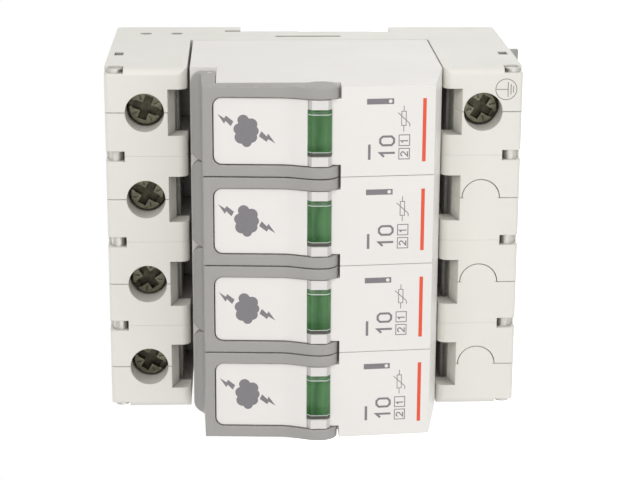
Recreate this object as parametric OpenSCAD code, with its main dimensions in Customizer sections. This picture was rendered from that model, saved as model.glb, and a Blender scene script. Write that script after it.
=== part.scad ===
// Four-pole pluggable surge arrester for a 35 mm mounting rail.
// X runs along the rail, Z points up on the wall, and the front faces -Y.
// The origin lies on the rail seat, at the middle of the rail.

/* [Poles] */
// Number of poles side by side
pole_count = 4; // [2:1:6]
// Width of one pole along the rail
pole_pitch = 17.8; // [17.6:0.1:18.2]

/* [Base] */
// Height of the base from end to end
base_h = 83.4; // [82.6:0.2:88]
// Rail seat to the terminal shoulders
shoulder_d = 43.2; // [42.6:0.2:45]
// Rail seat to the floor of the cartridge bay
bay_floor_d = 10.6; // [10.2:0.1:12]
// Rail seat to the back of the base
back_d = 5.6; // [5:0.1:7]
// Height of the upper terminal blocks
upper_block_h = 16.4; // [16.1:0.1:16.6]
// Height of the lower terminal blocks
lower_block_h = 16; // [15.7:0.1:16.2]
// Wall of the moulded shells
shell_wall = 1.2; // [1:0.1:1.4]
// Rounding of the shoulders towards the bay
bay_edge_r = 1.8; // [1:0.1:2]
// Rounding of the other long edges of the base
base_edge_r = 1; // [0.5:0.1:1.4]
// Rounding of the front edges of the outer side walls
side_edge_r = 1.4; // [1:0.1:1.6]

/* [Rail] */
// Height of the mounting rail
rail_h = 35; // [34.8:0.1:35.2]
// Thickness of the rail's lips
rail_t = 1; // [0.8:0.1:1.2]
// How far the fixed hook reaches over the rail's upper lip
hook_reach = 2.9; // [2:0.1:3.2]
// Width of the sliding latch
latch_w = 8.8; // [8:0.1:9.2]
// How far the latch sticks out of the lower end
latch_tab = 5.4; // [4.6:0.1:7]

/* [Terminals] */
// End of the base to the terminal screws
terminal_inset = 7.9; // [7.8:0.05:8]
// Radius of the screw holes
hole_r = 3.9; // [3.8:0.05:4]
// Depth of the screw heads below the shoulders
head_recess = 5; // [4.6:0.1:5.4]
// Radius of the screw heads
head_r = 3.6; // [3.4:0.05:3.7]
// Thickness of the screw heads
head_t = 2.6; // [2.2:0.1:2.8]
// Radius of the screw shanks
shank_r = 2.4; // [2:0.05:2.6]
// Travel of the clamp cages
cage_travel = 2.4; // [1.6:0.1:2.6]
// Outside width of the clamp cages
cage_w = 10.8; // [10.4:0.1:11.2]
// Length of the clamp cages along the wire
cage_l = 7.2; // [6.6:0.1:7.4]
// Wall of the clamp cages
cage_wall = 1.2; // [1:0.1:1.4]
// Height of the threaded wall of the clamp cages
nut_t = 2.4; // [2:0.1:2.6]
// Room for the wire in an open cage
wire_room = 6.6; // [6:0.1:7]
// Thickness of the current bars
bar_t = 1.4; // [1.2:0.1:1.5]
// Width of the current bars
bar_w = 6.8; // [6.4:0.1:7.2]

/* [Shoulder details] */
// Width of the pocket beside each cartridge
pocket_w = 9.4; // [8:0.1:10]
// Length of the pocket's mouth from the bay's wall
pocket_mouth = 3.9; // [3:0.1:4]
// Width of the notch at each side of a pole
notch_w = 1.05; // [0.8:0.05:1.2]
// Length of the notch from the end of the base
notch_l = 3.8; // [3.4:0.1:3.9]
// Depth of the notch
notch_d = 3; // [2.6:0.1:3.4]
// Radius of the tie rods
rod_r = 1.45; // [1.2:0.05:1.5]

/* [Cartridge] */
// Rail seat to the flat of the handle
front_d = 60; // [59:0.5:62]
// Gap between the bay and the upper end of the cartridge
upper_gap = 0.55; // [0.4:0.05:0.7]
// Gap between the bay and the lower end of the cartridge
lower_gap = 0.3; // [0.25:0.05:0.5]
// How far the label's lower end stands in from the end of the cartridge
label_inset = 2.84; // [2.4:0.02:3.2]
// Rail middle to the upper end of the label
label_start = 4.4; // [4.3:0.05:4.8]
// How far the label's upper end stands proud
label_rise = 0.9; // [0.6:0.1:1.2]
// How far the label's lower end falls back
label_fall = 0.83; // [0.4:0.01:1.2]
// Wall of the cartridge
case_wall = 1.2; // [1:0.1:1.3]
// Upper end of the cartridge to the contact blade
blade_inset = 7.75; // [7.4:0.05:8]
// Width of the contact blades
blade_w = 6; // [5:0.1:6.4]
// Thickness of the contact blades
blade_t = 0.8; // [0.6:0.05:1]

/* [Handle] */
// How far the handle's front upper edge stands in from the end of the cartridge
handle_inset = 2.75; // [2.5:0.05:3]
// Width of the handle's bridge
bridge_w = 1.9; // [1.6:0.1:2]
// Thickness of the arms along the rail
arm_w = 2.2; // [2:0.05:2.5]
// Depth of the arms below the front
arm_d = 2.9; // [2.4:0.1:3]
// Radius of the arms' round ends
knuckle_r = 3.35; // [3.1:0.05:3.4]
// Rail middle to the middle of the round ends, downwards
knuckle_drop = 0.75; // [0.5:0.05:0.75]
// Rise of the arms from the flat to the round ends
arm_rise = 1.65; // [1.2:0.05:1.7]
// Front upper edge to the handle's pivot, downwards
pivot_drop = 1.25; // [1.2:0.05:1.3]
// Front to the handle's pivot
pivot_d = 14.2; // [13.8:0.1:14.4]
// Radius of the pivot pins
pivot_r = 0.6; // [0.5:0.05:0.65]
// Radius of the cheeks around the pivot
cheek_r = 1.2; // [1.15:0.05:1.25]
// Front to the handle's finger flange
grip_d = 13.5; // [13:0.1:13.6]
// Thickness of the finger flange
grip_t = 2; // [1.8:0.1:2]
// Gap between the finger flange and the base
grip_gap = 0.75; // [0.5:0.05:1]
// Hollow between the end wall and the finger flange
hollow_r = 1.6; // [1:0.1:1.8]
// Rounding of the finger flange's corners
grip_corner_r = 2.2; // [1.5:0.1:2.2]
// Rounding of the plate's corners between the arms
plate_corner_r = 1.55; // [1:0.05:1.6]

/* [Window] */
// Upper edge of the status window
window_top = 2; // [1.8:0.05:2.2]
// Lower edge of the status window, below the rail middle
window_drop = 2.6; // [2.4:0.05:2.8]
// Width of the lens where it meets the case
lens_w = 9.1; // [8.6:0.1:9.6]
// Width of the lens at its front
lens_front_w = 7.3; // [6.8:0.1:7.8]
// Travel of the status flag
flag_travel = 5.2; // [4.8:0.1:5.4]

/* [Hidden] */
$fn = 64;
POLES = [1 : pole_count];

// Clearances: moving pieces, pieces that sit still in a seat, and pins that turn
slide_gap = 0.15;
seat_gap = 0.05;
pin_gap = 0.05;
// Extra length of a cut past the face that it opens
over = 0.5;

// Poles are counted from the right, where the earth terminal is
pole_half = pole_pitch / 2;
function pole_x(k) = ((pole_count + 1) / 2 - k) * pole_pitch;
row_half = pole_count * pole_half;

// Base levels
z_end = base_h / 2;
bay_top = z_end - upper_block_h;
bay_bottom = z_end - lower_block_h;
terminal_z = z_end - terminal_inset;
y_shoulder = -shoulder_d;
y_bay = -bay_floor_d;
shell_inside = pole_half - shell_wall;

// Rail slot
hook_tip = rail_h / 2 - hook_reach;
slot_top = rail_h / 2 + 0.5;
slot_bottom = rail_h / 2 + 0.8;
lip_gap = rail_t + 0.4;
seat_relief = 0.3;
seat_half = hook_tip - 0.6;

// Latch: a wide flange that runs in a groove, and a neck that shows at the back
flange_t = 1.8;
neck_w = latch_w - 2.5;
y_flange = lip_gap + slide_gap;
latch_lip = rail_h / 2 - 2.1;
latch_end = z_end + latch_tab;

// Terminal levels, counted from the front
y_head = y_shoulder + head_recess;
y_head_back = y_head + head_t;
head_gap = 0.2;
y_nut = y_head_back + head_gap + cage_travel;
nut_room = 1;
y_bar = y_nut + nut_t + nut_room;
y_wire = y_bar + bar_t;
y_cage_inner = y_wire + wire_room;
y_cage_back = y_cage_inner + cage_wall;
y_chamber_back = y_cage_back + 2 * slide_gap;
chamber_half = cage_w / 2 + slide_gap;
chamber_l = cage_l + 4 * slide_gap;
entry_w = cage_w - 2 * cage_wall - 0.2;
entry_r = 1.5;
mouth_rim = 0.8;
mouth_d = 0.8;

// Current bars
bar_gap = 0.2;
y_leg_back = -shell_wall - bar_gap;
y_leg_front = y_leg_back - bar_t;
y_fork = y_bay + shell_wall + bar_gap;
fork_t = 0.7;
fork_gap = 0.1;
fork_half = blade_t / 2 + fork_gap + fork_t;

// Shoulder pocket and tongue
pocket_d = shoulder_d - bay_floor_d - 2.6;
pocket_ramp_d = 3.7;
pocket_ramp = 1.3;
pocket_step_d = 12;
pocket_step = 0.6;
pocket_room_d = 5;
pocket_room_w = pole_pitch - 3.8;
tongue_t = 2.4;
tongue_gap = 0.16;

// Foot of the current bar's riser, past the pocket
riser_wall = 0.5;
riser_in = pocket_mouth - pocket_ramp - pocket_step + riser_wall;

// Fine groove along the joint of the half shells
seam_w = 0.07;
seam_d = 0.3;

// Tie rods
rod_z = z_end - notch_l + rod_r + 0.3;
y_rod = y_shoulder + rod_r + 0.75;

// Cartridge levels
y_front = -front_d;
cart_top = bay_top - upper_gap;
cart_bottom = bay_bottom - lower_gap;
label_end = cart_bottom - label_inset;
blade_z = cart_top - blade_inset;
handle_top = cart_top - handle_inset;
pivot_z = handle_top - pivot_drop;
cart_half = pole_half - seat_gap;
y_cart = y_bay - 0.2;
arm_gap = 0.2;
nose_half = cart_half - arm_w - arm_gap;
y_pivot = y_front + pivot_d;
grip_back = grip_d + grip_t;
grip_z = bay_top - grip_gap;
sweep_r = norm([grip_back - pivot_d, grip_z - pivot_z]) + 0.25;
y_ledge = y_pivot + sweep_r + 0.25;
side_top = pivot_z - cheek_r - slide_gap;
nose_top = handle_top - bridge_w - arm_gap;
lug_r = pivot_r + 0.35;
y_side = y_front + arm_d + 0.25;
y_slope = -shoulder_d + 0.2;
plate_drop = 0.5;
cover_t = 1.2;
cover_lip = 0.8;

// Handle levels
handle_wall = 1;
wall_draft = 0.5;
wall_in = pivot_z + lug_r + slide_gap;
arm_in = cart_half - arm_w;
handle_half = cart_half - 0.08;
bridge_in = handle_top - bridge_w;
knuckle_y = y_front + 0.5;
arm_slope = 0.8 / 14;
arm_level = handle_top - 1;
rise_start = 7;

// Window and flag
bar_drop = 0.25;
bar_y = knuckle_y - knuckle_r + bar_drop;
bar_edge = 0.75;
bar_fall = 0.95;
lens_slope_d = 0.5;
flag_t = 0.8;
y_flag = y_front + 0.95;
flag_half = lens_w / 2 + 0.2;
flag_z = [-window_drop - flag_travel - 0.2, window_top + 0.1];
stem_half = 1;
stem_z = [-5, -3];
stem_l = 8;

// Varistor block, its ribs, and the tails and the leaf that hold on to it
varistor_t = 6;
varistor_l = 28;
varistor_gap = 6;
varistor_foot = 7.4;
varistor_head = 8.75;
varistor_z = [-cart_bottom + varistor_foot, cart_top - varistor_head];
varistor_y = [y_cart - varistor_gap - varistor_l, y_cart - varistor_gap];
varistor_r = 2;
rib_inset = 6;
rib_w = 2;
foot_t = 1.2;
foot_half = 3;
tail_t = 0.7;
tail_w = 2;
tail_l = 8;
leaf_t = 0.6;
leaf_w = 3.9;
leaf_hold = 20;
finger_w = 1.6;

// Rise of the arms' front line: a gentle slope, then an S-curve up to the round ends
function ease(t) = t <= 0 ? 0 : t >= 1 ? 1 : t * t * (3 - 2 * t);
function arm_front(z) = y_front - arm_slope * max(0, arm_level - z)
    - arm_rise * ease((rise_start - z) / rise_start);
// Upper end wall of the handle, with its draft; d is the depth below the front
function handle_end(d) = handle_top + wall_draft * d / grip_d;
// Label line from its upper to its lower end
function label_y(z) = y_front - label_rise
    + (label_rise + label_fall) * (-label_start - z) / (label_end - label_start);
// Lower end wall of the cartridge, which leans in towards the front
function lower_end(y) = y > y_slope ? -cart_bottom
    : -cart_bottom + (cart_bottom - label_end) * (y_slope - y) / (y_slope - label_y(-label_end));

// A solid between two planes across X, from an outline drawn in Y and Z
module slab(x0, x1) {
    translate([x0, 0, 0]) rotate([90, 0, 90]) linear_extrude(x1 - x0) children();
}

// A solid between two planes across Y, from an outline drawn in X and Z
module plate(y0, y1) {
    translate([0, y1, 0]) rotate([90, 0, 0]) linear_extrude(y1 - y0) children();
}

// A block between two corners
module block(low, high) {
    translate(low) cube(high - low);
}

// A flat rectangle between two corners
module area(low, high) {
    translate(low) square(high - low);
}

// What a rounded corner takes away; side gives the way the corner points
module corner(p, side, r) {
    margin = 0.05;
    translate([p.x - side.x * r, p.y - side.y * r]) difference() {
        translate([side.x > 0 ? 0 : -r - margin, side.y > 0 ? 0 : -r - margin]) square(r + margin);
        circle(r);
    }
}

// A rectangle with round corners
module round_area(low, high, r) {
    difference() {
        area(low, high);
        corner(low, [-1, -1], r);
        corner([high.x, low.y], [1, -1], r);
        corner(high, [1, 1], r);
        corner([low.x, high.y], [-1, 1], r);
    }
}

// Side outline of one terminal block, with its shoulder towards -Y
module block_outline(bay) {
    difference() {
        area([y_shoulder, bay], [back_d, z_end]);
        corner([y_shoulder, bay], [-1, -1], bay_edge_r);
        corner([y_shoulder, z_end], [-1, 1], base_edge_r);
        corner([back_d, z_end], [1, 1], base_edge_r);
    }
}

// Side outline of the base: two terminal blocks, the bay floor and the rail slot
module base_outline() {
    difference() {
        union() {
            block_outline(bay_top);
            mirror([0, 1]) block_outline(bay_bottom);
            area([y_bay, -bay_bottom - over], [back_d, bay_top + over]);
        }
        area([0, -slot_bottom], [back_d + over, hook_tip]);
        area([-seat_relief, seat_half], [lip_gap, slot_top]);
        area([-seat_relief, -slot_bottom], [lip_gap, -seat_half]);
    }
}

// Room for a terminal: screw hole, cage chamber, wire entry and current bar
module terminal_room(bay) {
    riser = bay + riser_in;
    translate([0, 0, terminal_z]) plate(y_shoulder - over, y_head_back + over) circle(hole_r);
    block([-chamber_half, y_head_back, terminal_z - chamber_l / 2],
        [chamber_half, y_chamber_back, terminal_z + chamber_l / 2]);
    translate([0, 0, terminal_z]) linear_extrude(z_end)
        round_area([-entry_w / 2, y_wire], [entry_w / 2, y_cage_inner], entry_r);
    translate([0, 0, z_end - mouth_d]) linear_extrude(z_end)
        round_area([-entry_w / 2 - mouth_rim, y_wire - mouth_rim],
            [entry_w / 2 + mouth_rim, y_cage_inner + mouth_rim], entry_r + mouth_rim);
    slab(-bar_w / 2 - bar_gap, bar_w / 2 + bar_gap) {
        area([y_bar - bar_gap, riser], [-shell_wall, riser + bar_t + 2 * bar_gap + seat_gap]);
        area([y_bar - bar_gap, riser], [y_wire + bar_gap, terminal_z]);
        area([y_bay + shell_wall, blade_z - fork_half - bar_gap], [-shell_wall, riser + bar_t]);
    }
}

// Pocket that opens towards the bay, with a sloped outer wall, and wider inside than at its mouth
module pocket(bay) {
    mouth = bay + pocket_mouth;
    wall = mouth - pocket_ramp;
    y_step = y_shoulder + pocket_step_d;
    slab(-pocket_w / 2, pocket_w / 2) polygon([
        [y_shoulder - over, bay - over],
        [y_shoulder - over, mouth],
        [y_shoulder, mouth],
        [y_shoulder + pocket_ramp_d, wall],
        [y_step, wall],
        [y_step, bay - over]
    ]);
    slab(-pocket_room_w / 2, pocket_room_w / 2) polygon([
        [y_shoulder + pocket_room_d, bay - over],
        [y_shoulder + pocket_room_d, wall],
        [y_step, wall],
        [y_step, wall - pocket_step],
        [y_shoulder + pocket_d, wall - pocket_step],
        [y_shoulder + pocket_d, bay - over]
    ]);
}

// Slit in the bay floor that a contact blade passes through
module blade_slit(z) {
    block([-blade_w / 2 - 0.4, y_bay - over, z - blade_t],
        [blade_w / 2 + 0.4, y_bay + shell_wall + over, z + blade_t]);
}

// Notch at the right side of a pole, open towards the end, and the tie rod's hole
module rod_room() {
    block([pole_half - notch_w, y_shoulder - over, z_end - notch_l],
        [pole_half + over, y_shoulder + notch_d, z_end + over]);
    translate([-over, y_rod, rod_z]) rotate([0, 90, 0])
        cylinder(r = rod_r + seat_gap, h = pole_half + 2 * over);
}

// Groove of the rail latch, with lips that hold its flange
module latch_room() {
    flange_half = latch_w / 2 + slide_gap;
    neck_half = neck_w / 2 + slide_gap;
    block([-flange_half, lip_gap, -z_end - over],
        [flange_half, y_flange + flange_t + slide_gap, -slot_bottom + over]);
    block([-neck_half, lip_gap, -z_end - over], [neck_half, back_d + over, -slot_bottom + over]);
}

// Room for the earth bar in the bay floor; it stops short of an outer wall
module earth_room(outer) {
    reach = outer ? shell_inside : pole_half + over;
    half_w = fork_half + bar_gap;
    block([-over, y_leg_front - bar_gap, -blade_z - half_w], [reach, -shell_wall, -blade_z + half_w]);
    block([-bar_w / 2 - bar_gap, y_bay + shell_wall, -blade_z - half_w],
        [bar_w / 2 + bar_gap, -shell_wall, -blade_z + half_w]);
}

// Moulded marks on the outer side wall: snap windows, a core recess and two gate marks
module side_marks() {
    mark_d = 1.4;
    snap = [3.2, 1.8];
    snap_d = 2.2;
    snap_y = y_shoulder + 14.8;
    snap_z = z_end - 3;
    core = [1.4, 14.3];
    core_y = -6.9;
    gate = [2, 2.5];
    gate_y = -3.6;
    gate_z = [z_end - 14.5, z_end - 7.8];
    slab(pole_half - snap_d, pole_half + over)
        for (side = [0, 1])
            mirror([0, side]) area([snap_y, snap_z], [snap_y, snap_z] + snap);
    slab(pole_half - mark_d, pole_half + over) {
        round_area([core_y, -core.y / 2], [core_y, -core.y / 2] + core, core.x / 2 - 0.05);
        for (z = gate_z)
            round_area([gate_y, z], [gate_y, z] + gate, gate.x / 2 - 0.1);
    }
}

// Cored recess in the back of the upper block
module back_core() {
    core_d = 1.2;
    core_inset = 1.5;
    plate(back_d - core_d, back_d + over)
        round_area([core_inset, hook_tip + 6], [pole_half - core_inset, z_end - 2 * core_inset],
            core_inset);
}

// Rounding along the front edges of an outer wall
module outer_edge() {
    for (z0 = [-z_end - over, bay_top - over])
        translate([0, 0, z0]) linear_extrude(z_end - bay_top + 2 * over + 1)
            corner([pole_half, y_shoulder], [1, -1], side_edge_r);
}

// Fine groove where the half shells meet; it stops at the lower screw hole and its tongue
module seam() {
    for (z = [[bay_top, z_end], [-terminal_z + hole_r, -bay_bottom], [-z_end, -terminal_z - hole_r]])
        block([-over, y_shoulder - over, z[0] - over], [seam_w, y_shoulder + seam_d, z[1] + over]);
    for (side = [0, 1])
        mirror([0, 0, side])
            block([-over, y_shoulder - over, z_end - seam_d], [seam_w, back_d + over, z_end + over]);
}

// Right half of a pole's base, drawn about the pole's middle
module shell_half(earth, outer, open_hole) {
    difference() {
        slab(0, pole_half) base_outline();
        terminal_room(bay_top);
        if (earth) mirror([0, 0, 1]) terminal_room(bay_bottom);
        if (open_hole) translate([0, 0, -terminal_z])
            plate(y_shoulder - over, y_shoulder + tongue_t + seat_gap) circle(hole_r);
        pocket(bay_top);
        mirror([0, 0, 1]) pocket(bay_bottom);
        blade_slit(blade_z);
        blade_slit(-blade_z);
        earth_room(outer);
        rod_room();
        mirror([0, 0, 1]) rod_room();
        latch_room();
        seam();
        back_core();
        if (outer) side_marks();
        if (outer) outer_edge();
    }
}

module base_right_shell(k) {
    color("#e4e2d8") translate([pole_x(k), 0, 0]) shell_half(k == 1, k == 1, true);
}

// Left half: where no earth terminal is fitted, a round tongue closes the screw hole
module base_left_shell(k) {
    color("#e4e2d8") translate([pole_x(k), 0, 0]) {
        mirror([1, 0, 0]) shell_half(k == 1, k == pole_count, k == 1);
        if (k > 1) translate([0, 0, -terminal_z]) plate(y_shoulder, y_shoulder + tongue_t) intersection() {
            circle(hole_r - tongue_gap);
            area([0, -hole_r], [hole_r, hole_r]);
        }
    }
}

// Latch that slides down to free the rail, with a bevelled lip and a slotted pull tab
module rail_latch(k) {
    lip_bevel = 1.2;
    slot_w = 4;
    slot_h = 1.6;
    slot_edge = 1.4;
    y_neck = y_flange + flange_t;
    y_latch_back = back_d - 0.2;
    color("#9a9c9a") translate([pole_x(k), 0, 0]) difference() {
        union() {
            slab(-latch_w / 2, latch_w / 2) polygon([
                [y_flange, -latch_end],
                [y_flange, -latch_lip - 0.2],
                [y_flange + 0.2, -latch_lip],
                [y_neck - lip_bevel, -latch_lip],
                [y_neck, -latch_lip - lip_bevel],
                [y_neck, -latch_end]
            ]);
            block([-neck_w / 2, y_neck - over, -latch_end], [neck_w / 2, y_latch_back, -slot_bottom - 1]);
        }
        block([-slot_w / 2, y_flange - over, -latch_end + slot_edge],
            [slot_w / 2, y_latch_back + over, -latch_end + slot_edge + slot_h]);
    }
}

// Terminal screw with a slot, a wider cross recess and four fine ticks, turned by an angle
module clamp_screw(turn) {
    rim = 0.35;
    slot_w = 1.3;
    slot_depth = 0.8;
    cross_w = 1.7;
    cross_l = 5;
    cross_depth = 2;
    tick_w = 0.3;
    tick_in = 1.9;
    tick_out = 3;
    tick_depth = 0.3;
    difference() {
        union() {
            translate([0, y_head + rim, 0]) rotate([90, 0, 0])
                cylinder(r1 = head_r, r2 = head_r - rim, h = rim);
            plate(y_head + rim, y_head_back) circle(head_r);
            plate(y_head_back - 0.1, y_bar - seat_gap) circle(shank_r);
        }
        rotate([0, turn, 0]) {
            block([-head_r - over, y_head - over, -slot_w / 2],
                [head_r + over, y_head + slot_depth, slot_w / 2]);
            for (a = [0, 90])
                rotate([0, a, 0]) block([-cross_l / 2, y_head - over, -cross_w / 2],
                    [cross_l / 2, y_head + cross_depth, cross_w / 2]);
            for (a = [45 : 90 : 315])
                rotate([0, a, 0]) block([tick_in, y_head - over, -tick_w / 2],
                    [tick_out, y_head + tick_depth, tick_w / 2]);
        }
    }
}

// Angle at which each screw was left
screw_turns = [110, 119, 56, 120, 152, 12];
earth_turn = 121;

module terminal_screw(k) {
    color("#5c5a52") translate([pole_x(k), 0, terminal_z]) clamp_screw(screw_turns[k - 1]);
}

module earth_screw() {
    color("#5c5a52") translate([pole_x(1), 0, -terminal_z]) clamp_screw(earth_turn);
}

// Rising cage: the screw draws its back wall and the wire up to the current bar
module cage() {
    difference() {
        block([-cage_w / 2, y_nut, -cage_l / 2], [cage_w / 2, y_cage_back, cage_l / 2]);
        block([-cage_w / 2 + cage_wall, y_nut + nut_t, -cage_l],
            [cage_w / 2 - cage_wall, y_cage_inner, cage_l]);
        plate(y_nut - over, y_nut + nut_t + over) circle(shank_r + pin_gap);
    }
}

module clamp_cage(k) {
    color("#b9b7ae") translate([pole_x(k), 0, terminal_z]) cage();
}

module earth_cage() {
    color("#b9b7ae") translate([pole_x(1), 0, -terminal_z]) cage();
}

// Two leaves that grip a contact blade
module fork() {
    for (side = [-1, 1])
        translate([0, 0, side * (blade_t / 2 + fork_gap + fork_t / 2)])
            block([-blade_w / 2, y_fork, -fork_t / 2], [blade_w / 2, y_leg_front + 0.1, fork_t / 2]);
}

// Bent current bar from a terminal to the fork under the bay
module current_bar(bay) {
    riser = bay + riser_in + bar_gap;
    slab(-bar_w / 2, bar_w / 2) {
        area([y_bar, riser], [y_wire, terminal_z + cage_l / 2]);
        area([y_bar, riser], [y_leg_back, riser + bar_t]);
        area([y_leg_front, blade_z - fork_half], [y_leg_back, riser + bar_t]);
    }
    translate([0, 0, blade_z]) fork();
}

module line_contact(k) {
    color("#c8a15a") translate([pole_x(k), 0, 0]) current_bar(bay_top);
}

// Bar that joins the lower forks of all poles to the earth terminal
module earth_bar() {
    color("#c8a15a") {
        translate([pole_x(1), 0, 0]) mirror([0, 0, 1]) current_bar(bay_bottom);
        block([pole_x(pole_count) - bar_w / 2, y_leg_front, -blade_z - fork_half],
            [pole_x(1) + bar_w / 2, y_leg_back, -blade_z + fork_half]);
        for (k = POLES)
            translate([pole_x(k), 0, -blade_z]) fork();
    }
}

// Rods that tie the poles together and show in the notches
module tie_rods() {
    rod_inset = 0.3;
    color("#d9d9d2") for (side = [-1, 1])
        translate([-row_half + rod_inset, y_rod, side * rod_z]) rotate([0, 90, 0])
            cylinder(r = rod_r, h = 2 * (row_half - rod_inset));
}

// Side outline of the cartridge where it is as wide as the pole
module case_outline() {
    difference() {
        polygon([
            [y_cart, -cart_bottom],
            [y_cart, cart_top],
            [y_ledge, cart_top],
            [y_ledge, side_top],
            [y_side, side_top],
            [y_side, -label_start],
            [label_y(-label_start), -label_start],
            [label_y(-label_end), -label_end],
            [y_slope, -cart_bottom]
        ]);
        translate([knuckle_y, -knuckle_drop]) circle(knuckle_r + 0.25);
    }
}

// Raised bar across the nose that holds the window, with sloped edges
bar_face = [
    [bar_y + bar_fall, window_top],
    [bar_y, window_top - bar_edge],
    [bar_y, -window_drop + bar_edge],
    [bar_y + bar_fall, -window_drop]
];

// Side outline of the nose between the arms, with the window's bar
module nose_outline() {
    plate_z = [for (i = [0 : 24]) nose_top + (window_top - nose_top) * i / 24];
    polygon(concat(
        [[y_ledge - 0.01, nose_top]],
        [for (z = plate_z) [arm_front(z) + plate_drop, z]],
        bar_face,
        [
            [label_y(-window_drop), -window_drop],
            [label_y(-label_start), -label_start],
            [y_side, -label_start - 0.5],
            [y_ledge - 0.01, -label_start - 0.5]
        ]
    ));
}

// Outline of the room inside the case, drawn in by g from the walls
function tub(g) = [
    [y_cart - case_wall - g, -cart_bottom + case_wall + g],
    [y_cart - case_wall - g, cart_top - case_wall - g],
    [y_ledge + case_wall + g, cart_top - case_wall - g],
    [y_ledge + case_wall + g, side_top - case_wall - g],
    [y_side + case_wall + g, side_top - case_wall - g],
    [y_side + case_wall + g, lower_end(y_side + case_wall + g) + case_wall + g],
    [y_slope, -cart_bottom + case_wall + g]
];

// Pivot lug between the handle's cheeks, with a pin at each side
module pivot_lug() {
    slab(-nose_half, nose_half) {
        translate([y_pivot, pivot_z]) circle(lug_r);
        area([y_pivot - lug_r, nose_top - 2], [y_pivot + lug_r, pivot_z]);
    }
    translate([-handle_half + 0.1, y_pivot, pivot_z]) rotate([0, 90, 0])
        cylinder(r = pivot_r, h = 2 * handle_half - 0.2);
}

module cartridge_case(k) {
    rib_y = [varistor_y[0] + rib_inset, varistor_y[1] - rib_inset];
    color("#ebe9e6") translate([pole_x(k), 0, 0]) {
        difference() {
            union() {
                slab(-cart_half, cart_half) case_outline();
                slab(-nose_half, nose_half) nose_outline();
            }
            for (side = [0, 1])
                mirror([side, 0, 0]) plate(y_front - 3, y_side)
                    corner([nose_half, nose_top], [1, 1], plate_corner_r);
            // Room that the handle's flange sweeps behind the pivot
            slab(-cart_half - over, cart_half + over) intersection() {
                translate([y_pivot, pivot_z]) circle(sweep_r);
                area([y_pivot, side_top], [y_pivot + sweep_r, pivot_z + sweep_r]);
            }
            slab(-cart_half + cover_t, cart_half - case_wall) polygon(tub(cover_lip));
            slab(-cart_half - over, -cart_half + cover_t) polygon(tub(0));
            // Lens seat, flag guide and the slot for the flag's stem
            block([-lens_w / 2 - seat_gap, y_front - 4, -window_drop - seat_gap],
                [lens_w / 2 + seat_gap, y_flag, window_top + seat_gap]);
            block([-flag_half - slide_gap, y_flag - slide_gap, flag_z[0] - slide_gap],
                [flag_half + slide_gap, y_flag + flag_t + slide_gap,
                    flag_z[1] + flag_travel + 2 * slide_gap]);
            block([-stem_half - slide_gap, y_flag, stem_z[0] - slide_gap],
                [stem_half + slide_gap, y_side + case_wall + 2, stem_z[1] + flag_travel + 2 * slide_gap]);
            for (z = [-blade_z, blade_z])
                block([-blade_w / 2 - seat_gap, y_cart - case_wall - 2, z - blade_t / 2 - seat_gap],
                    [blade_w / 2 + seat_gap, y_cart + over, z + blade_t / 2 + seat_gap]);
        }
        pivot_lug();
        // Ribs that hold the varistor
        for (y = rib_y)
            block([varistor_t / 2, y - rib_w / 2, varistor_z[0] + rib_inset],
                [cart_half - case_wall + 0.1, y + rib_w / 2, varistor_z[1] - rib_inset]);
    }
}

module cartridge_cover(k) {
    color("#ebe9e6") translate([pole_x(k), 0, 0])
        slab(-cart_half, -cart_half + cover_t) polygon(tub(seat_gap));
}

// Side outline of an arm's front part
module arm_front_outline() {
    front_z = [for (i = [0 : 36]) handle_top - (handle_top + knuckle_drop) * i / 36];
    polygon(concat(
        [for (z = front_z) [arm_front(z), z]],
        [[y_front + arm_d, -knuckle_drop], [y_front + arm_d, handle_top]]
    ));
}

// Side outline of an arm: front part, round end and the cheek down to the pivot
module arm_outline() {
    back_y = y_front + grip_back;
    arm_front_outline();
    translate([knuckle_y, -knuckle_drop]) circle(knuckle_r);
    polygon([
        [y_front, handle_top],
        [y_front + 1, pivot_z - cheek_r],
        [y_pivot, pivot_z - cheek_r],
        [y_pivot, pivot_z],
        [back_y, pivot_z],
        [back_y, handle_end(grip_d)],
        [y_front + grip_d, handle_end(grip_d)]
    ]);
    translate([y_pivot, pivot_z]) circle(cheek_r);
}

// Side outline of the bridge, the end wall and the finger flange, with a hollow between the two
module bridge_outline() {
    grip_y = y_front + grip_d;
    foot_z = handle_end(grip_d);
    polygon([
        [y_front, bridge_in],
        [y_front, handle_top],
        [grip_y, foot_z],
        [grip_y, grip_z],
        [y_front + grip_back, grip_z],
        [y_front + grip_back, wall_in],
        [grip_y - 1, wall_in],
        [y_front + arm_d, handle_top - handle_wall],
        [y_front + arm_d, bridge_in]
    ]);
    difference() {
        area([grip_y - hollow_r, foot_z - 0.2], [grip_y + 0.1, foot_z + hollow_r]);
        translate([grip_y - hollow_r, foot_z + hollow_r - 0.06]) circle(hollow_r);
    }
}

// Rounding between an arm and the bridge
module inner_corner() {
    r = plate_corner_r + arm_gap;
    intersection() {
        plate(y_front - 1, y_front + arm_d) difference() {
            area([arm_in - r, bridge_in - r], [arm_in + 0.1, bridge_in + 0.1]);
            translate([arm_in - r, bridge_in - r]) circle(r);
        }
        slab(0, handle_half) arm_front_outline();
    }
}

module pull_handle(k) {
    color("#a8a8a4") translate([pole_x(k), 0, 0]) difference() {
        union() {
            slab(-handle_half, -arm_in) arm_outline();
            slab(arm_in, handle_half) arm_outline();
            slab(-handle_half, handle_half) bridge_outline();
            inner_corner();
            mirror([1, 0, 0]) inner_corner();
        }
        for (side = [0, 1])
            mirror([side, 0, 0]) plate(y_front + grip_d - hollow_r - over, y_front + grip_back + over)
                corner([handle_half, grip_z], [1, 1], grip_corner_r);
        translate([-cart_half - over, y_pivot, pivot_z]) rotate([0, 90, 0])
            cylinder(r = pivot_r + pin_gap, h = 2 * cart_half + 2 * over);
    }
}

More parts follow.
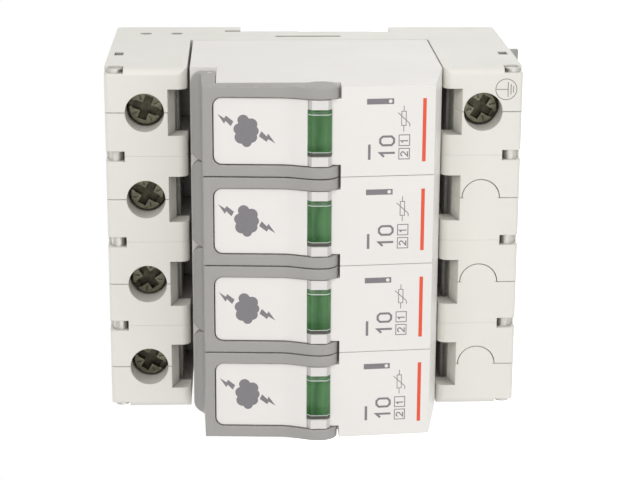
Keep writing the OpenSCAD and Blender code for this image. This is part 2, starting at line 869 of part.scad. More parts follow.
// Clear lens with sloped ends
module window_lens(k) {
    color("#d8e8dc", 0.5) translate([pole_x(k), 0, 0]) intersection() {
        slab(-lens_w / 2, lens_w / 2) polygon(concat(bar_face, [
            [y_front + 0.7, -window_drop],
            [y_front + 0.7, window_top]
        ]));
        translate([0, 0, -window_drop]) linear_extrude(window_drop + window_top) polygon([
            [-lens_w / 2, y_front + 1],
            [-lens_w / 2, bar_y + lens_slope_d],
            [-lens_front_w / 2, bar_y],
            [lens_front_w / 2, bar_y],
            [lens_w / 2, bar_y + lens_slope_d],
            [lens_w / 2, y_front + 1]
        ]);
    }
}

// Flag behind the lens, with a stem that the disconnector pushes
module status_flag(k) {
    color("#3f7d42") translate([pole_x(k), 0, 0]) {
        block([-flag_half, y_flag, flag_z[0]], [flag_half, y_flag + flag_t, flag_z[1]]);
        block([-stem_half, y_flag + flag_t - 0.1, stem_z[0]], [stem_half, y_flag + stem_l, stem_z[1]]);
    }
}

module varistor(k) {
    color("#2f4a7c") translate([pole_x(k), 0, 0]) slab(-varistor_t / 2, varistor_t / 2)
        round_area([varistor_y[0], varistor_z[0]], [varistor_y[1], varistor_z[1]], varistor_r);
}

// One blade with the foot that holds it in the case and the tail to the varistor
module blade(side) {
    foot_y = y_cart - case_wall - cover_lip;
    face = side * varistor_t / 2;
    tip = y_leg_front - 0.6;
    block([-blade_w / 2, foot_y - foot_t, blade_z - blade_t / 2],
        [blade_w / 2, tip, blade_z + blade_t / 2]);
    block([min(-blade_w / 2, face + side * tail_t), foot_y - foot_t, blade_z - foot_half],
        [max(blade_w / 2, face + side * tail_t), foot_y, blade_z + foot_half]);
    block([min(face, face + side * tail_t), varistor_y[1] - tail_l, blade_z - foot_half],
        [max(face, face + side * tail_t), foot_y, blade_z - foot_half + tail_w]);
}

module contact_blades(k) {
    color("#c8a15a") translate([pole_x(k), 0, 0]) {
        blade(-1);
        mirror([0, 0, 1]) blade(1);
    }
}

// Leaf that is soldered to the varistor and drives the flag when the joint lets go
module disconnector_spring(k) {
    leaf_z = [stem_z[0] - 2 * slide_gap - leaf_w, stem_z[0] - 2 * slide_gap];
    finger_y = y_flag + stem_l;
    face = -varistor_t / 2;
    color("#c9b37c") translate([pole_x(k), 0, 0]) {
        block([face - leaf_t, finger_y - finger_w, leaf_z[0]],
            [face, varistor_y[0] + leaf_hold, leaf_z[1]]);
        block([face - leaf_t, finger_y - finger_w, leaf_z[1] - leaf_t],
            [stem_half, finger_y - slide_gap, leaf_z[1]]);
    }
}

for (k = POLES) {
    base_right_shell(k);
    base_left_shell(k);
    rail_latch(k);
    terminal_screw(k);
    clamp_cage(k);
    line_contact(k);
    cartridge_case(k);
    cartridge_cover(k);
    pull_handle(k);
    window_lens(k);
    status_flag(k);
    varistor(k);
    contact_blades(k);
    disconnector_spring(k);
}
earth_screw();
earth_cage();
earth_bar();
tie_rods();
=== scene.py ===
"""Looks of a four-pole pluggable surge arrester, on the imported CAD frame."""
import math

import bmesh
import bpy
from mathutils import Matrix, Vector
from mathutils.bvhtree import BVHTree


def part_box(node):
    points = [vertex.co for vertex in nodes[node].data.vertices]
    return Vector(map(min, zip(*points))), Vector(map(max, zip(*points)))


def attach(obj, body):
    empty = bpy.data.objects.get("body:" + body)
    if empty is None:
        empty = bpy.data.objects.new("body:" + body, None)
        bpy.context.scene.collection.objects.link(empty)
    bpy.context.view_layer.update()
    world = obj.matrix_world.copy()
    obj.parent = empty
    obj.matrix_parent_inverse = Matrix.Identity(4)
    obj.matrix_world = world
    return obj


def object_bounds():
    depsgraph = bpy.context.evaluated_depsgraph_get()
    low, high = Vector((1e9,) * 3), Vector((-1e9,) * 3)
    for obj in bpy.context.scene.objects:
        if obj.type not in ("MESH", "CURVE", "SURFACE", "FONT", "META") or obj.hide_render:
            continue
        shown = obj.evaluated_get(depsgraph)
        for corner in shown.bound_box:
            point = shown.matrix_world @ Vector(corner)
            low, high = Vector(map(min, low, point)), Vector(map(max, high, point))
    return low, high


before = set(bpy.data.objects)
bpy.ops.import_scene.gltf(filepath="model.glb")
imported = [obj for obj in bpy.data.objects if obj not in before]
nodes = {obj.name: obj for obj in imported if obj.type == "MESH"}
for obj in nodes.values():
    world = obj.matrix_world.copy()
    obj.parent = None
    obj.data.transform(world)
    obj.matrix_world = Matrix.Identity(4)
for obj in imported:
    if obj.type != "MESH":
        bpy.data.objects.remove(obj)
cad_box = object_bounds()
scene = bpy.context.scene
scene.view_settings.view_transform = "Standard"

MM = 0.001
POLES = (1, 2, 3, 4)


def pole_middle(k):
    """X of a pole's middle, from its lens, which is centred on the pole."""
    low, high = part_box(f"window_lens_{k}")
    return (low[0] + high[0]) / 2


# Camera: the photo is turned a quarter, so its up is the row's right
LENS_MM = 106.64
SENSOR_MM = 36
CAMERA_RIGHT = Vector((0.005541, -0.042162, -0.999095))
CAMERA_UP = Vector((0.961274, 0.275540, -0.006297))
CAMERA_PLACE = Vector((0.1064, -0.4132, 0.01495))


def photo_camera():
    """A camera at the photo's place and angle."""
    data = bpy.data.cameras.new("photo_camera")
    data.sensor_width = SENSOR_MM
    data.sensor_fit = "HORIZONTAL"
    data.lens = LENS_MM
    data.clip_start = 0.01
    made = bpy.data.objects.new("photo_camera", data)
    back = CAMERA_RIGHT.cross(CAMERA_UP)
    rows = zip(CAMERA_RIGHT, CAMERA_UP, back, CAMERA_PLACE)
    made.matrix_world = Matrix((*rows, (0, 0, 0, 1)))
    scene.collection.objects.link(made)
    return made


scene.camera = photo_camera()

# Noise settings: scale per metre, detail, roughness
FLOW_MARKS = (55, 4, 0.6)
GLOSS_PATCHES = (160, 3, 0.5)
GRAIN = (5200, 2, 0.6)
RUB_MARKS = (700, 4, 0.7)
PLATING_STAIN = (900, 4, 0.6)
STRIP_STAIN = (300, 4, 0.6)
STRIP_LINES = (1, 3, 0.6)
FIELD_FLOW = (140, 3, 0.5)
SMEARS = (240, 3, 0.5)
INK_COVER = (2600, 3, 0.6)

# Radii of softened edges
PLASTIC_EDGE = 0.22 * MM
GRIP_EDGE = 0.5 * MM
TURNED_EDGE = 0.12 * MM
STRIP_EDGE = 0.15 * MM
CLEAR_EDGE = 0.2 * MM

# Depths of the bumps
GRAIN_DEPTH = 0.04 * MM
FIELD_DEPTH = 0.03 * MM
METAL_DEPTH = 0.02 * MM

# Where the painted shade in hollows, and the rubbed edges, begin and end
HOLLOW_SHADE_REACH = 5 * MM
HOLLOW_SHADE_OPENNESS = (0.25, 0.85)
RUB_FACING = (0.8, 0.98)
RUB_PATCHES = (0.4, 0.62)
RUB_LEAST = 0.2

# Metal: its turning rings, where behind the front the painted shade in a recess sets in, and how strip is
# drawn out
RING_SCALE = 9
RING_WANDER = 0.6
RECESS_SHADE_DEPTH = (0.015, 0.06)
STRIP_STRETCH = (4000, 300, 300)
STRIP_WORN = 0.72

# Flag: how far its painted dark reflection streak wanders, where that streak fades, and how sharply its two
# fields meet
STREAK_WANDER = 0.4 * MM
STREAK_FADE = (0.2 * MM, 1.5 * MM)
FIELD_BLUR = 0.1 * MM


class Finish:
    """A material with a Principled shader and the node helpers that the finishes share."""

    def __init__(self, name):
        self.material = bpy.data.materials.new(name)
        self.material.use_nodes = True
        self.tree = self.material.node_tree
        self.shader = self.tree.nodes["Principled BSDF"]
        texture = self.node("ShaderNodeTexCoord")
        self.coords = texture.outputs["Object"]
        self.generated = texture.outputs["Generated"]

    def node(self, kind, **settings):
        made = self.tree.nodes.new(kind)
        for key, value in settings.items():
            setattr(made, key, value)
        return made

    def link(self, source, target):
        self.tree.links.new(source, target)

    def feed(self, name, source):
        """Drives one of the shader's inputs."""
        self.link(source, self.shader.inputs[name])

    def set(self, **values):
        """Sets the shader's inputs, with _ for a space in their names."""
        for key, value in values.items():
            self.shader.inputs[key.replace("_", " ")].default_value = value

    def noise(self, scale, detail, rough, coords=None):
        made = self.node("ShaderNodeTexNoise")
        made.inputs["Scale"].default_value = scale
        made.inputs["Detail"].default_value = detail
        made.inputs["Roughness"].default_value = rough
        self.link(coords or self.coords, made.inputs["Vector"])
        return made.outputs["Fac"]

    def stretched(self, scale, source, move=(0, 0, 0)):
        """Coordinates scaled along each axis, then moved."""
        made = self.node("ShaderNodeMapping")
        made.inputs["Location"].default_value = move
        made.inputs["Scale"].default_value = scale
        self.link(source, made.inputs["Vector"])
        return made.outputs["Vector"]

    def along(self, axis, source):
        """One axis of some coordinates."""
        made = self.node("ShaderNodeSeparateXYZ")
        self.link(source, made.inputs["Vector"])
        return made.outputs[axis]

    def maths(self, operation, *sources):
        made = self.node("ShaderNodeMath", operation=operation)
        for source, target in zip(sources, made.inputs):
            self.link(source, target)
        return made.outputs["Value"]

    def span(self, source, low, high, from_low=0.3, from_high=0.7):
        """Maps a texture's values onto low to high."""
        made = self.node("ShaderNodeMapRange")
        made.inputs["From Min"].default_value = from_low
        made.inputs["From Max"].default_value = from_high
        made.inputs["To Min"].default_value = low
        made.inputs["To Max"].default_value = high
        self.link(source, made.inputs["Value"])
        return made.outputs["Result"]

    def tint(self, source, low, high, from_low=0.3, from_high=0.7):
        """Colours that run from low to high with a texture's values."""
        made = self.node("ShaderNodeValToRGB")
        made.color_ramp.elements[0].position = from_low
        made.color_ramp.elements[0].color = (*low, 1)
        made.color_ramp.elements[1].position = from_high
        made.color_ramp.elements[1].color = (*high, 1)
        self.link(source, made.inputs["Fac"])
        return made.outputs["Color"]

    def dim(self, colour, factor):
        """The colour times a value that changes over the surface."""
        made = self.node("ShaderNodeVectorMath", operation="SCALE")
        self.link(colour, made.inputs[0])
        self.link(factor, made.inputs["Scale"])
        return made.outputs["Vector"]

    def paint_hollow_shade(self, colour, least):
        """The colour, dimmed by painted shade down to the factor least where the piece closes round itself.
        """
        inside = self.node("ShaderNodeAmbientOcclusion", samples=8, only_local=True)
        inside.inputs["Distance"].default_value = HOLLOW_SHADE_REACH
        return self.dim(colour, self.span(inside.outputs["AO"], least, 1, *HOLLOW_SHADE_OPENNESS))

    def rub(self, colour, rubbed, normal):
        """The colour, rubbed in patches along edges, where the softened normal leaves the face's own."""
        facing = self.node("ShaderNodeVectorMath", operation="DOT_PRODUCT")
        self.link(normal, facing.inputs[0])
        self.link(self.node("ShaderNodeNewGeometry").outputs["True Normal"], facing.inputs[1])
        edge = self.span(facing.outputs["Value"], 1, 0, *RUB_FACING)
        patches = self.span(self.noise(*RUB_MARKS), RUB_LEAST, 1, *RUB_PATCHES)
        made = self.node("ShaderNodeMix", data_type="RGBA")
        self.link(self.maths("MULTIPLY", edge, patches), made.inputs["Factor"])
        self.link(colour, made.inputs["A"])
        made.inputs["B"].default_value = (*rubbed, 1)
        return made.outputs["Result"]

    def soft_edges(self, radius):
        made = self.node("ShaderNodeBevel", samples=6)
        made.inputs["Radius"].default_value = radius
        return made.outputs["Normal"]

    def bump(self, height, strength, distance, normal=None):
        made = self.node("ShaderNodeBump")
        made.inputs["Strength"].default_value = strength
        made.inputs["Distance"].default_value = distance
        self.link(height, made.inputs["Height"])
        if normal:
            self.link(normal, made.inputs["Normal"])
        return made.outputs["Normal"]


def srgb(red, green, blue):
    """A colour written as 0 to 255, as linear values."""
    def linear(value):
        value /= 255
        return value / 12.92 if value <= 0.04045 else ((value + 0.055) / 1.055) ** 2.4
    return linear(red), linear(green), linear(blue)


def times(colour, factor):
    return tuple(c * factor for c in colour)


def moulded(name, colour, shade, roughness, edge=PLASTIC_EDGE, hollow_shade=None, rubbed=None):
    """Moulded plastic: faint flow marks, a spark-eroded grain and softened edges.

    Hollows get painted shade that dims them down to the given factor, and edges are rubbed to the colour
    rubbed.
    """
    finish = Finish(name)
    tone = finish.tint(finish.noise(*FLOW_MARKS), times(colour, shade), colour)
    # Painted shade: ambient occlusion darkens the colour in the piece's own hollows
    if hollow_shade:
        tone = finish.paint_hollow_shade(tone, hollow_shade)
    normal = finish.soft_edges(edge)
    if rubbed:
        tone = finish.rub(tone, rubbed, normal)
    finish.feed("Base Color", tone)
    patches = finish.noise(*GLOSS_PATCHES)
    finish.feed("Roughness", finish.span(patches, roughness - 0.05, roughness + 0.05))
    finish.feed("Normal", finish.bump(finish.noise(*GRAIN), 0.25, GRAIN_DEPTH, normal))
    finish.set(IOR=1.5)
    return finish.material


def turned_metal(name, colour, roughness, recess_shade=1.0, worn=0.6):
    """Plated metal with fine turning rings about each piece's own middle.

    The plating is dimmed to the factor worn in stains, and by painted shade behind the front, where the
    recess lies, down to a given factor.
    """
    finish = Finish(name)
    stain = finish.noise(*PLATING_STAIN)
    depth = finish.along("Y", finish.generated)
    plating = finish.tint(stain, times(colour, worn), colour)
    # Painted shade: the plating darkens behind the front, where the recess lies
    finish.feed("Base Color", finish.dim(plating, finish.span(depth, 1, recess_shade, *RECESS_SHADE_DEPTH)))
    finish.feed("Roughness", finish.span(stain, roughness + 0.12, roughness - 0.04))
    rings = finish.node("ShaderNodeTexWave", wave_type="RINGS", rings_direction="Y")
    rings.inputs["Scale"].default_value = RING_SCALE
    rings.inputs["Distortion"].default_value = RING_WANDER
    centred = finish.stretched((1, 0, 1), finish.generated, move=(-0.5, 0, -0.5))
    finish.link(centred, rings.inputs["Vector"])
    normal = finish.soft_edges(TURNED_EDGE)
    finish.feed("Normal", finish.bump(rings.outputs["Fac"], 0.3, METAL_DEPTH, normal))
    turning = finish.node("ShaderNodeTangent", direction_type="RADIAL", axis="Y")
    finish.feed("Tangent", turning.outputs["Tangent"])
    finish.set(Metallic=1.0, Anisotropic=0.6)
    return finish.material


def sheet_metal(name, colour, roughness):
    """Rolled strip with long fine scratches and a faint stain."""
    finish = Finish(name)
    lines = finish.noise(*STRIP_LINES, finish.stretched(STRIP_STRETCH, finish.coords))
    stain = finish.noise(*STRIP_STAIN)
    finish.feed("Base Color", finish.tint(stain, times(colour, STRIP_WORN), colour))
    finish.feed("Roughness", finish.span(lines, roughness - 0.06, roughness + 0.1))
    finish.feed("Normal", finish.bump(lines, 0.15, METAL_DEPTH, finish.soft_edges(STRIP_EDGE)))
    finish.set(Metallic=1.0)
    return finish.material


def indicator(name, ready, painted_streak, spent, edge_z):
    """Status flag: the ready field above edge_z, with a painted dark reflection streak along its middle,
    and the spent field below.
    """
    finish = Finish(name)
    height = finish.along("Z", finish.coords)
    # Painted reflection: a darker green streak along the middle stands for the lens's reflection
    wander = finish.span(finish.noise(*FIELD_FLOW), -STREAK_WANDER, STREAK_WANDER)
    away = finish.maths("ABSOLUTE", finish.maths("ADD", height, wander))
    field = finish.tint(finish.span(away, 0, 1, *STREAK_FADE), painted_streak, ready, 0, 1)
    both = finish.node("ShaderNodeMix", data_type="RGBA")
    above = finish.span(height, 0, 1, edge_z - FIELD_BLUR, edge_z + FIELD_BLUR)
    finish.link(above, both.inputs["Factor"])
    both.inputs["A"].default_value = (*spent, 1)
    finish.link(field, both.inputs["B"])
    finish.feed("Base Color", both.outputs["Result"])
    finish.feed("Normal", finish.bump(finish.noise(*GRAIN), 0.2, FIELD_DEPTH))
    finish.set(Roughness=0.5, IOR=1.5, Specular_IOR_Level=0.15)
    return finish.material


def clear_plastic(name, highlight_frost=0.0, ior=1.49):
    """Clear moulding, with smears; a frosting factor whitens it, and is used to paint highlights along the
    lens's edges.
    """
    finish = Finish(name)
    finish.feed("Roughness", finish.span(finish.noise(*SMEARS), 0.02 + highlight_frost, 0.07 + highlight_frost))
    finish.feed("Normal", finish.soft_edges(CLEAR_EDGE))
    finish.set(Base_Color=(0.95, 0.98, 0.95, 1), IOR=ior, Transmission_Weight=1.0 - highlight_frost)
    return finish.material


def ink(name, colour, roughness=0.62, uneven=1.06):
    """Pad-printed ink, paler by the factor uneven where its cover is thin."""
    finish = Finish(name)
    thin = tuple(min(1, c * uneven + 0.01) for c in colour)
    finish.feed("Base Color", finish.tint(finish.noise(*INK_COVER), colour, thin))
    finish.set(Roughness=roughness)
    return finish.material


# The base has painted shade in its holes, pockets and inner corners
BASE = moulded("base_plastic", srgb(233, 231, 223), shade=0.97, roughness=0.46, hollow_shade=0.35)
CASE = moulded("cartridge_plastic", srgb(237, 234, 230), shade=0.975, roughness=0.42)
HANDLE = moulded(
    "handle_plastic",
    srgb(164, 162, 158),
    shade=0.95,
    roughness=0.5,
    edge=GRIP_EDGE,
    rubbed=srgb(196, 194, 189),
)
LATCH = moulded("latch_plastic", srgb(163, 163, 160), shade=0.94, roughness=0.5, rubbed=srgb(190, 190, 186))
COAT = moulded("varistor_coat", srgb(38, 62, 112), shade=0.85, roughness=0.35)
# The flag's darker green along its middle is a painted reflection streak
FLAG = indicator(
    "flag_green",
    ready=srgb(82, 136, 80),
    painted_streak=srgb(40, 98, 36),
    spent=srgb(226, 104, 34),
    edge_z=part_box("window_lens_1")[0][2],
)
LENS_CLEAR = clear_plastic("clear_lens", ior=1.3)
# Frosted strips that paint highlights along the lens's front edges
LENS_HIGHLIGHT = clear_plastic("painted_lens_highlight", highlight_frost=0.8)
# Dark ink that paints shade on the lens's left sloped end
LENS_SHADE = ink("painted_lens_shade", srgb(86, 82, 78))
# Screws get painted shade in their recesses
SCREW = turned_metal("screw_steel", srgb(116, 114, 97), roughness=0.3, recess_shade=0.4)
ROD = turned_metal("rod_metal", srgb(206, 205, 198), roughness=0.42, worn=0.85)
CAGE = sheet_metal("cage_steel", srgb(176, 174, 166), roughness=0.38)
BRASS = sheet_metal("brass_bar", srgb(205, 165, 92), roughness=0.32)
BRONZE = sheet_metal("spring_bronze", srgb(196, 148, 92), roughness=0.34)
BAR_FACE = ink("bar_face", srgb(224, 221, 218), roughness=0.3, uneven=1.02)
# Greyer ink that paints shade on the bar's slopes
BAR_SLOPE_SHADE = ink("bar_slope_shade", srgb(203, 201, 197), roughness=0.3, uneven=1.02)
INK_GREY = ink("ink_grey", srgb(124, 121, 124))
INK_PALE = ink("ink_pale_grey", srgb(128, 127, 124))
INK_RED = ink("ink_red", srgb(228, 84, 52))

FINISHES = {
    "base_right_shell": BASE,
    "base_left_shell": BASE,
    "rail_latch": LATCH,
    "terminal_screw": SCREW,
    "earth_screw": SCREW,
    "clamp_cage": CAGE,
    "earth_cage": CAGE,
    "line_contact": BRASS,
    "earth_bar": BRASS,
    "tie_rods": ROD,
    "cartridge_case": CASE,
    "cartridge_cover": CASE,
    "pull_handle": HANDLE,
    "window_lens": LENS_CLEAR,
    "status_flag": FLAG,
    "varistor": COAT,
    "contact_blades": BRASS,
    "disconnector_spring": BRONZE,
}
for name, node in nodes.items():
    kind = name.rstrip("_0123456789")
    node.data.materials.clear()
    node.data.materials.append(FINISHES[kind])

# Prints: how far they stand off the surface behind them, in millimetres
INK_LIFT = 0.02
LAYER_LIFT = 0.012
# The lens's painted highlights and painted shade, and the bar's glaze and painted slope shade, are laid
# like prints
LENS_HIGHLIGHT_LIFT = 0.04
LENS_SHADE_LIFT = 0.015
BAR_LIFT = 0.01


class Print:
    """Collects flat shapes, in millimetres in X and Z about a pole's middle, and lays them on a node."""

    def __init__(self):
        self.polygons = []
        self.layer = 0

    def outline(self, points):
        self.polygons.append((self.layer, [tuple(p) for p in points]))

    def box(self, x0, z0, x1, z1):
        self.outline([(x0, z0), (x1, z0), (x1, z1), (x0, z1)])

    def stroke(self, points, width, closed=False):
        """A line of one width along points, with mitred corners."""
        points = [Vector(p) for p in points]
        count = len(points)
        sides = []
        for i, here in enumerate(points):
            before = points[i - 1] if i or closed else here * 2 - points[i + 1]
            after = points[(i + 1) % count] if i + 1 < count or closed else here * 2 - points[i - 1]
            first = (here - before).normalized()
            second = (after - here).normalized()
            across = Vector((-first.y - second.y, first.x + second.x))
            across *= width / (2 + 2 * first.dot(second))
            sides.append((here + across, here - across))
        for i in range(count if closed else count - 1):
            (a, b), (c, d) = sides[i], sides[(i + 1) % count]
            self.outline([a, c, d, b])

    def frame(self, x0, z0, x1, z1, width):
        self.box(x0, z0, x1, z0 + width)
        self.box(x0, z1 - width, x1, z1)
        self.box(x0, z0 + width, x0 + width, z1 - width)
        self.box(x1 - width, z0 + width, x1, z1 - width)

    def pierced(self, x0, z0, x1, z1, radius, steps=8):
        """A box with a round clear dot in its middle, in four pieces."""
        middle = Vector(((x0 + x1) / 2, (z0 + z1) / 2))
        corners = [Vector(c) for c in ((x1, z1), (x0, z1), (x0, z0), (x1, z0))]
        for turn in range(4):
            start = math.pi / 4 + turn * math.pi / 2
            arc = [start + math.pi / 2 * i / steps for i in range(steps, -1, -1)]
            rim = [middle + radius * Vector((math.cos(a), math.sin(a))) for a in arc]
            self.outline([corners[turn], corners[(turn + 1) % 4], *rim])

    def ring(self, x, z, radius, width, steps=64):
        turns = [2 * math.pi * i / steps for i in range(steps)]
        points = [(x + radius * math.cos(t), z + radius * math.sin(t)) for t in turns]
        self.stroke(points, width, closed=True)

    def cloud(self, x, z, lobes, steps=180):
        """One outline around round lobes, seen from the middle; lobes are (x, z, radius)."""
        points = []
        for i in range(steps):
            turn = 2 * math.pi * i / steps
            way = Vector((math.cos(turn), math.sin(turn)))
            reach = 0
            for lobe_x, lobe_z, radius in lobes:
                ahead = way.x * lobe_x + way.y * lobe_z
                aside = lobe_x ** 2 + lobe_z ** 2 - ahead ** 2
                if aside < radius ** 2:
                    reach = max(reach, ahead + math.sqrt(radius ** 2 - aside))
            points.append((x + way.x * reach, z + way.y * reach))
        self.outline(points)

    def lay(self, name, node, middle, material, body, lift=INK_LIFT):
        """Sets the shapes on the node's front, seen along +Y, a hair proud of it."""
        tree = BVHTree.FromObject(nodes[node], bpy.context.evaluated_depsgraph_get())
        before_front = cad_box[0][1] - 10 * MM
        mesh = bmesh.new()
        for layer, polygon in self.polygons:
            proud = (lift + LAYER_LIFT * layer) * MM
            verts = []
            for x, z in polygon:
                start = Vector((middle + x * MM, before_front, z * MM))
                hit = tree.ray_cast(start, Vector((0, 1, 0)))[0]
                verts.append(mesh.verts.new((start.x, hit.y - proud, start.z)))
            mesh.faces.new(verts)
        bmesh.ops.triangulate(mesh, faces=mesh.faces)
        for face in mesh.faces:
            face.normal_update()
            if face.normal.y > 0:
                face.normal_flip()
        data = bpy.data.meshes.new(name)
        mesh.to_mesh(data)
        mesh.free()
        data.materials.append(material)
        piece = bpy.data.objects.new(name, data)
        scene.collection.objects.link(piece)
        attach(piece, body)


# Numerals as strokes in a field 2.8 high, and the step from one to the next
DIGITS = {
    "0": [(0.5, 0), (0, 0.5), (0, 2.3), (0.5, 2.8), (1.3, 2.8), (1.8, 2.3), (1.8, 0.5), (1.3, 0)],
    "1": [(0.2, 2.0), (1.0, 2.8), (1.0, -0.2)],
    "2": [(0, 2.2), (0.5, 2.8), (1.3, 2.8), (1.8, 2.3), (1.8, 1.7), (0, 0), (2.0, 0)],
}
DIGIT_STEP = 2.6


def number(target, text, x, z, size, width):
    """Plain numerals as strokes of one width; x and z give the lower left corner."""
    for sign in text:
        points = [(x + a * size, z + b * size) for a, b in DIGITS[sign]]
        target.stroke(points, width, closed=sign == "0")
        x += DIGIT_STEP * size


# Cloud: its middle, its lobes about that, and the start and tip of each flash
CLOUD_AT = (0.05, 13.7)
LOBES = [
    (2.05, 0.55, 1.1), (1.3, -1.0, 1.15), (0.0, -1.35, 1.05), (-1.2, -1.0, 1.1),
    (-2.2, -0.1, 0.95), (-1.25, 0.95, 1.25), (0.35, 1.3, 1.1), (0, 0, 1.7),
]
FLASHES = [((1.55, 16.3), (3.1, 19.3)), ((-0.6, 11.1), (-2.1, 8.0))]
BOLT = [(0, -0.4), (0, 0.7), (1.4, 0.22), (1.4, 0.85), (3.5, -0.3), (1.85, -0.12), (1.85, -0.75)]
BOLT_LENGTH = 3.5


def flash(target, start, end):
    """A zigzag flash that narrows from start to its tip at end."""
    start, end = Vector(start), Vector(end)
    along = (end - start) / BOLT_LENGTH
    across = Vector((-along.y, along.x))
    target.outline([start + along * a + across * b for a, b in BOLT])


# Label: boxes are x0, z0, x1, z1
LABEL_BAR = (5.2, -13.15, 6.3, -9.3)
LABEL_BAR_END = (5.2, -14.5, 6.3, -13.15)
LABEL_DOT_R = 0.36
LABEL_DASH = (-5.6, -10.1, -2.6, -9.6)
LABEL_STRIPE = (-6.2, -20.8, 6.2, -20.1)
VALUE_AT = (-5.3, -14.6)
VALUE_SIZE, VALUE_LINE = 0.95, 0.42
NUMBERED_BOXES = [("1", -3.05, 0.55), ("2", -5.7, 0.65)]
BOX_LOW, BOX_HIGH, BOX_WIDTH, BOX_LINE = -17.7, -15.5, 2.25, 0.16
BOX_NUMBER_Z, BOX_NUMBER_SIZE, BOX_NUMBER_LINE = -17.25, 0.46, 0.22
VARISTOR_BODY = (0.9, -16.95, 3.8, -15.95)
VARISTOR_LEADS = [[(-0.2, -16.45), (0.9, -16.45)], [(3.8, -16.45), (4.8, -16.45)]]
VARISTOR_SLASH = [(0.75, -17.6), (1.34, -17.6), (3.5, -15.3)]
VARISTOR_LINE = 0.14

# Lens and bar: heights at which their faces turn, from the lower to the upper edge
LENS_RUN = (-2.5, -1.85, 1.25, 1.9)
BAR_RUN = (-2.55, -1.85, 1.25, 1.95)
# Where the painted lens highlights and the painted lens shade stand, and their widths
LENS_HIGHLIGHT_X, LENS_HIGHLIGHT_LINE = 3.65, 0.12
LENS_SHADE_X, LENS_SHADE_LINE = -4.15, 0.72
BAR_ENDS = [(-6.42, -4.6), (4.6, 6.42)]

for k in POLES:
    middle = pole_middle(k)
    case = f"cartridge_case_{k}"
    lens = f"window_lens_{k}"
    body = f"cartridge_{k}"

    # Thundercloud with two flashes on the plate between the arms
    cloud = Print()
    cloud.cloud(*CLOUD_AT, LOBES)
    for start, end in FLASHES:
        flash(cloud, start, end)
    cloud.lay(f"cloud_print_{k}", case, middle, INK_GREY, body)

    # Label: a bar with a clear dot, a plain number, two numbered boxes and a varistor sign
    label = Print()
    label.box(*LABEL_BAR)
    label.pierced(*LABEL_BAR_END, LABEL_DOT_R)
    number(label, "10", *VALUE_AT, VALUE_SIZE, VALUE_LINE)
    label.box(*LABEL_DASH)
    for digit, x, inset in NUMBERED_BOXES:
        label.frame(x, BOX_LOW, x + BOX_WIDTH, BOX_HIGH, BOX_LINE)
        number(label, digit, x + inset, BOX_NUMBER_Z, BOX_NUMBER_SIZE, BOX_NUMBER_LINE)
    label.frame(*VARISTOR_BODY, VARISTOR_LINE)
    for lead in VARISTOR_LEADS:
        label.stroke(lead, VARISTOR_LINE)
    label.layer = 1
    label.stroke(VARISTOR_SLASH, VARISTOR_LINE)
    label.lay(f"label_print_{k}", case, middle, INK_GREY, body)

    stripe = Print()
    stripe.box(*LABEL_STRIPE)
    stripe.lay(f"label_stripe_{k}", case, middle, INK_RED, body)

    # Lens: painted highlights along its front edges, where its sloped ends meet the face, and a painted
    # dark shade strip on its left sloped end
    edges = Print()
    for highlight_x in (LENS_HIGHLIGHT_X, -LENS_HIGHLIGHT_X):
        edges.stroke([(highlight_x, z) for z in LENS_RUN], LENS_HIGHLIGHT_LINE)
    edges.lay(f"lens_highlights_{k}", lens, middle, LENS_HIGHLIGHT, body, LENS_HIGHLIGHT_LIFT)
    # Painted shade: a dark strip on the lens's left sloped end
    shade = Print()
    shade.stroke([(LENS_SHADE_X, z) for z in LENS_RUN], LENS_SHADE_LINE)
    shade.lay(f"lens_shade_{k}", lens, middle, LENS_SHADE, body, LENS_SHADE_LIFT)

    # Bar: its two ends are glazed, with painted shade in a greyer ink on the slopes
    face = Print()
    slope_shade = Print()
    for x0, x1 in BAR_ENDS:
        face.box(x0, BAR_RUN[1], x1, BAR_RUN[2])
        slope_shade.box(x0, BAR_RUN[0], x1, BAR_RUN[1])
        slope_shade.box(x0, BAR_RUN[2], x1, BAR_RUN[3])
    face.lay(f"bar_face_{k}", case, middle, BAR_FACE, body, BAR_LIFT)
    slope_shade.lay(f"bar_bands_{k}", case, middle, BAR_SLOPE_SHADE, body, BAR_LIFT)

# Earth sign beside the earth terminal: a ring, a stem and three bars, each by its drop and half length
EARTH_X, EARTH_Z = 4.57, -38.3
EARTH_RING_R, EARTH_LINE = 2.1, 0.15
EARTH_STEM = (2.0, -0.3)
EARTH_BARS = [(0.37, 1.5), (0.95, 1.05), (1.45, 0.65)]
EARTH_BAR_LINE = 0.16

earth = Print()
earth.ring(EARTH_X, EARTH_Z, EARTH_RING_R, EARTH_LINE)
earth.stroke([(EARTH_X, EARTH_Z + z) for z in EARTH_STEM], EARTH_LINE)
for drop, half_length in EARTH_BARS:
    earth.stroke([(EARTH_X + x, EARTH_Z - drop) for x in (-half_length, half_length)], EARTH_BAR_LINE)
earth.lay("earth_sign", "base_right_shell_1", pole_middle(1), INK_PALE, "base")

# Stage: a pale floor below the part, out of the photo's view where its shadow lies
FLOOR_DROP = 45 * MM
FLOOR_HALF = 3.0
FLOOR_FILL = 0.1
FLOOR_SHOWN = (0.27, 0.76)
FLOOR_REACH = (0.092, 0.165)

# Light: a soft dome, a key from the front and the row's right, and a weak rim from behind
DOME_FILL, DOME_SHOWN = 0.62, 1.0
AIM = (0, -0.03, 0)
KEY_PLACE, KEY_SIZE, KEY_WATTS = (0.46, -0.85, 0.12), 0.7, 3.9
RIM_PLACE, RIM_SIZE, RIM_WATTS = (-0.6, 0.5, 0.7), 0.6, 1.5


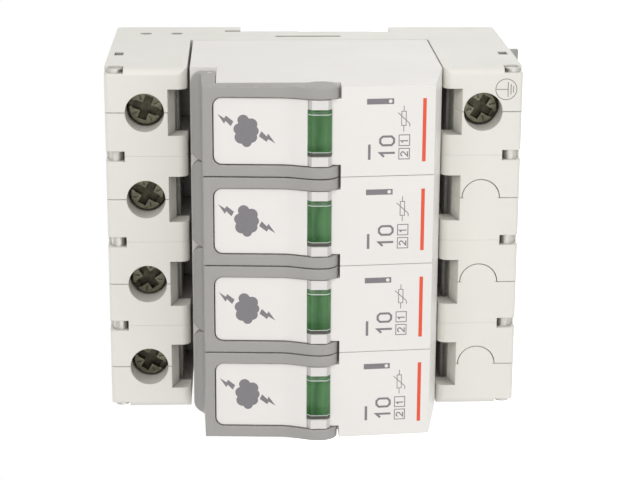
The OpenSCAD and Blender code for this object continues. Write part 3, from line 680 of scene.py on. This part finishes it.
def seen_directly(tree):
    """1 for rays from the camera, and for those that metal and glass send on."""
    path = tree.nodes.new("ShaderNodeLightPath")
    seen = path.outputs["Is Camera Ray"]
    for kind in ("Is Glossy Ray", "Is Transmission Ray"):
        either = tree.nodes.new("ShaderNodeMath")
        either.operation = "MAXIMUM"
        tree.links.new(seen, either.inputs[0])
        tree.links.new(path.outputs[kind], either.inputs[1])
        seen = either.outputs["Value"]
    return seen


def floor_white():
    """White where it is seen, less so near the part, so that the part's shadow shows."""
    finish = Finish("floor_white")
    finish.set(Base_Color=(0.9, 0.9, 0.9, 1), Roughness=0.9, Emission_Color=(1, 1, 1, 1))
    reach = finish.node("ShaderNodeVectorMath", operation="LENGTH")
    finish.link(finish.coords, reach.inputs[0])
    level = finish.node("ShaderNodeMix", data_type="FLOAT")
    level.inputs["A"].default_value = FLOOR_FILL
    finish.link(finish.span(reach.outputs["Value"], *FLOOR_SHOWN, *FLOOR_REACH), level.inputs["B"])
    finish.link(seen_directly(finish.tree), level.inputs["Factor"])
    finish.feed("Emission Strength", level.outputs["Result"])
    return finish.material


def softbox(name, position, size, power):
    """A square soft lamp that faces the part."""
    data = bpy.data.lights.new(name, "AREA")
    data.shape = "RECTANGLE"
    data.size = size
    data.size_y = size
    data.energy = power
    lamp = bpy.data.objects.new(name, data)
    lamp.location = position
    lamp.rotation_euler = (Vector(AIM) - Vector(position)).to_track_quat("-Z", "Y").to_euler()
    scene.collection.objects.link(lamp)


floor_z = cad_box[0][2] - FLOOR_DROP
floor_data = bpy.data.meshes.new("floor")
corners = [(x * FLOOR_HALF, y * FLOOR_HALF, floor_z) for x, y in ((-1, -1), (1, -1), (1, 1), (-1, 1))]
floor_data.from_pydata(corners, [], [(0, 1, 2, 3)])
floor_data.materials.append(floor_white())
floor = bpy.data.objects.new("floor", floor_data)
scene.collection.objects.link(floor)

scene.world = bpy.data.worlds.new("studio")
scene.world.use_nodes = True
tree = scene.world.node_tree
level = tree.nodes.new("ShaderNodeMapRange")
level.inputs["To Min"].default_value = DOME_FILL
level.inputs["To Max"].default_value = DOME_SHOWN
tree.links.new(seen_directly(tree), level.inputs["Value"])
sky = tree.nodes["Background"]
sky.inputs["Color"].default_value = (1, 1, 1, 1)
tree.links.new(level.outputs["Result"], sky.inputs["Strength"])

softbox("key", KEY_PLACE, KEY_SIZE, KEY_WATTS)
softbox("rim", RIM_PLACE, RIM_SIZE, RIM_WATTS)
